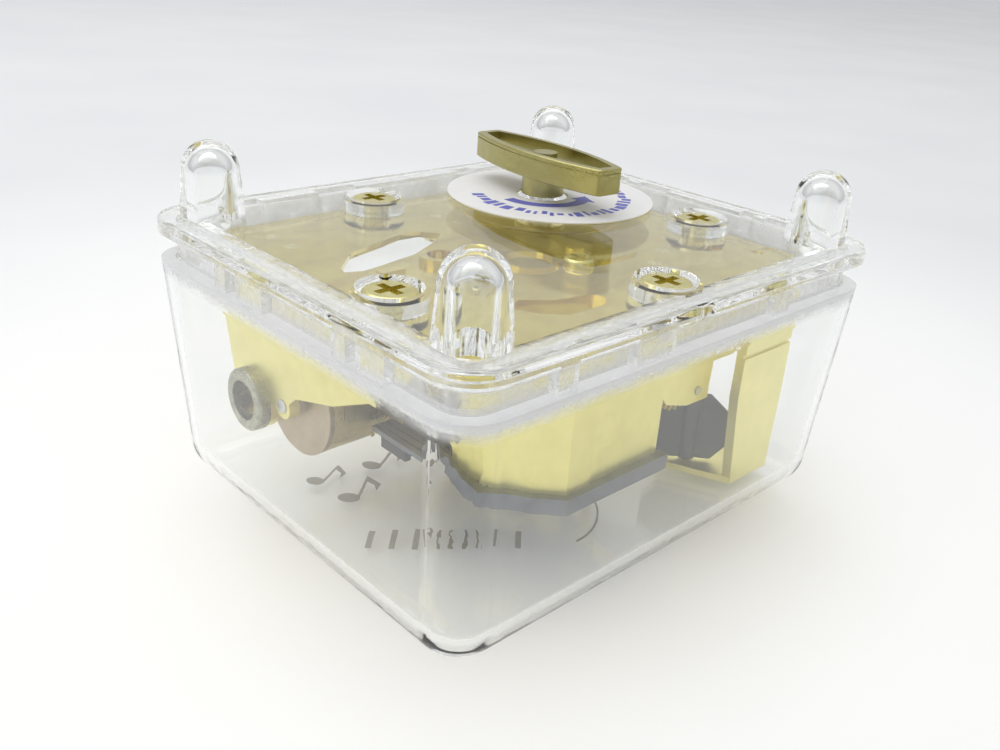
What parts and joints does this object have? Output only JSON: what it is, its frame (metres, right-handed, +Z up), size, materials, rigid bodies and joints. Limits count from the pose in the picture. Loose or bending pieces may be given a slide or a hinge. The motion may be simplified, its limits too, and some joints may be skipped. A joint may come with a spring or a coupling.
{
  "type": "wind-up music box",
  "caption": "Wind-up music box: clear two-part case on a flat face, lid with hollow domed feet, brass winding key and a pinned-cylinder comb movement hung under the lid.",
  "frame": {"origin": "on the table plane, under the centre of the rectangular case", "axes": "+Z up through the lid and the winding key, +X along the long side of the case, +Y along the short side towards the winding key"},
  "size_m": [0.064, 0.0538, 0.0395],
  "materials": {
    "clear_plastic": "clear, polished",
    "print_ink": "matt ink",
    "label_paper": "matt paper",
    "screw_brass": "bright",
    "gold_plate": "polished",
    "gold_casting": "satin gold lacquer",
    "bright_steel": "bright",
    "comb_steel": "ground",
    "lead": "dull",
    "spring_steel": "blued",
    "key_brass": "satin",
    "wheel_brass": "cut",
    "cylinder_brass": "satin",
    "copper_cap": "satin",
    "dark_plastic": "matt"
  },
  "bodies": {
    "case": {"case_tub": "clear_plastic", "floor_print": "print_ink"},
    "lid": {"case_lid": "clear_plastic", "direction_label": "label_paper", "movement_screws": "screw_brass", "bedplate": "gold_plate", "frame_side_wall": "gold_casting", "stop_rod_bush": "bright_steel", "cylinder_bearing_post": "gold_casting", "comb_pedestal": "gold_casting", "pedestal_screws": "bright_steel", "comb": "comb_steel", "comb_screws": "bright_steel", "comb_weights": "lead", "spring_housing": "gold_casting", "housing_cover": "gold_plate", "mainspring": "spring_steel", "governor_frame": "gold_casting", "frame_rivets": "gold_casting", "governor_bracket": "gold_casting", "bracket_screws": "bright_steel"},
    "key": {"winding_key": "key_brass", "winding_arbor": "bright_steel", "spring_collar": "bright_steel", "arbor_clip": "bright_steel", "great_wheel": "wheel_brass"},
    "cylinder": {"pinned_cylinder": "cylinder_brass", "cylinder_end_caps": "copper_cap", "cylinder_shaft": "bright_steel", "cylinder_pinion": "wheel_brass"},
    "governor": {"governor_arbor": "bright_steel", "governor_pinion": "wheel_brass", "worm_wheel": "dark_plastic"},
    "fan": {"worm_shaft": "bright_steel", "air_brake_fan": "dark_plastic"}
  },
  "joints": [
    {"name": "lid_lift", "type": "slide", "parent": "case", "child": "lid", "axis": [0, 0, 1], "range_m": [0, 0.045]},
    {"name": "key_turn", "type": "hinge", "parent": "lid", "child": "key", "pos_m": [0.0123, 0.009, 0], "axis": [0, 0, 1], "continuous": true},
    {"name": "cylinder_turn", "type": "hinge", "parent": "lid", "child": "cylinder", "pos_m": [0, 0.009, 0.01291], "axis": [1, 0, 0], "continuous": true},
    {"name": "governor_turn", "type": "hinge", "parent": "lid", "child": "governor", "pos_m": [0.0123, 0, 0.01485], "axis": [0, 1, 0], "continuous": true},
    {"name": "fan_spin", "type": "hinge", "parent": "lid", "child": "fan", "pos_m": [0.01669, -0.0143, 0], "axis": [0, 0, 1], "continuous": true}
  ],
  "couplings": [
    {"joint": "cylinder_turn", "follows": "key_turn", "ratio": 2.6667},
    {"joint": "governor_turn", "follows": "key_turn", "ratio": 6},
    {"joint": "fan_spin", "follows": "key_turn", "ratio": 120}
  ]
}
